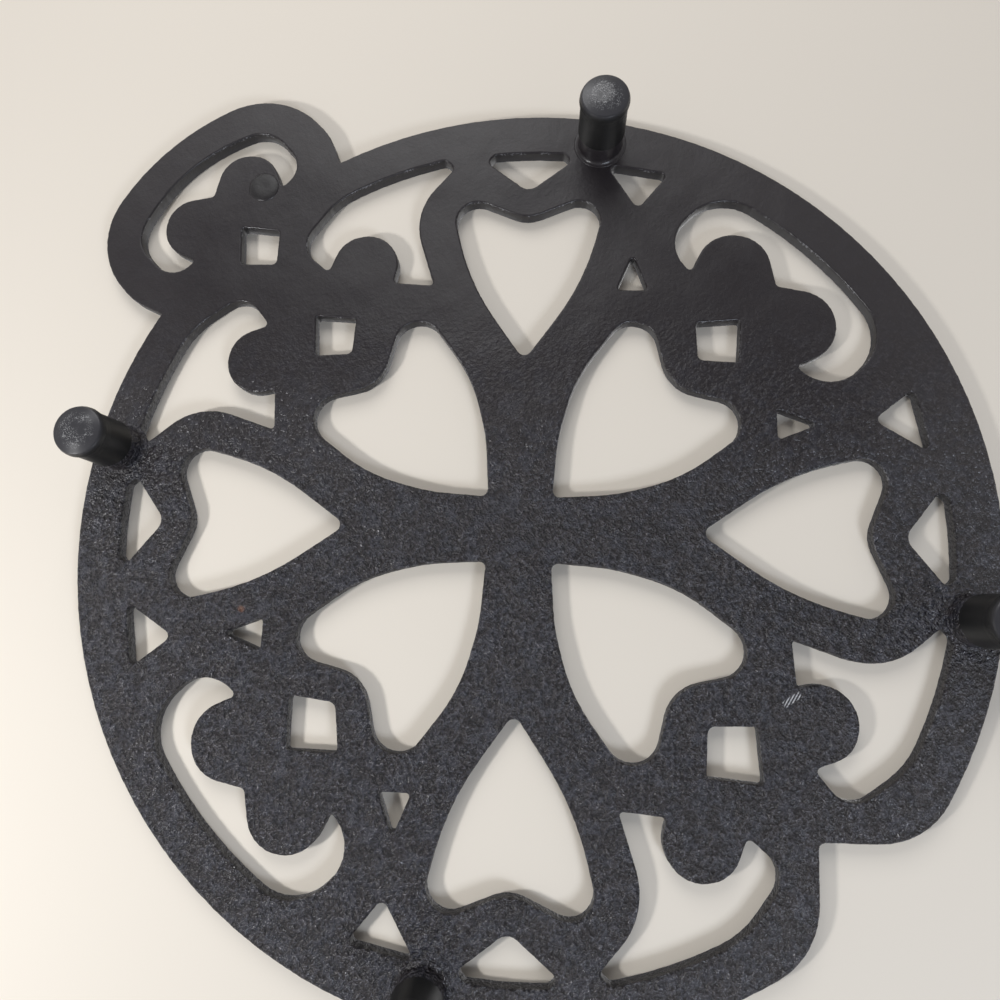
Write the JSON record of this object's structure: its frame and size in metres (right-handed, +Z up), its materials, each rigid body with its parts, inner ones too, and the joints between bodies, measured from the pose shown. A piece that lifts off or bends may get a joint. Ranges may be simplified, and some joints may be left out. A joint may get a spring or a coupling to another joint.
{
  "type": "openwork trivet",
  "caption": "Round cast iron trivet with heart openwork, a looped handle and rubber-capped feet, to set hot pots on.",
  "frame": {"origin": "on the surface that the trivet stands on, under the middle of its bounding box; the ring's centre is 16.1 mm in front of it, at y = -16.1 mm", "axes": "+Z up, out of the side that the pot stands on, +Y from the ring's centre towards the handle, +X to the right seen from above with the handle at the top"},
  "size_m": [0.2032, 0.2308, 0.0197],
  "materials": {
    "black_iron": "black baked coat over sand-cast grain, satin",
    "black_rubber": "moulded, glossy sides and a scuffed matt end"
  },
  "bodies": {
    "root": {"openwork_casting": "black_iron", "foot_cap_back_left": "black_rubber", "foot_cap_front_left": "black_rubber", "foot_cap_front_right": "black_rubber", "foot_cap_back_right": "black_rubber"}
  },
  "joints": []
}
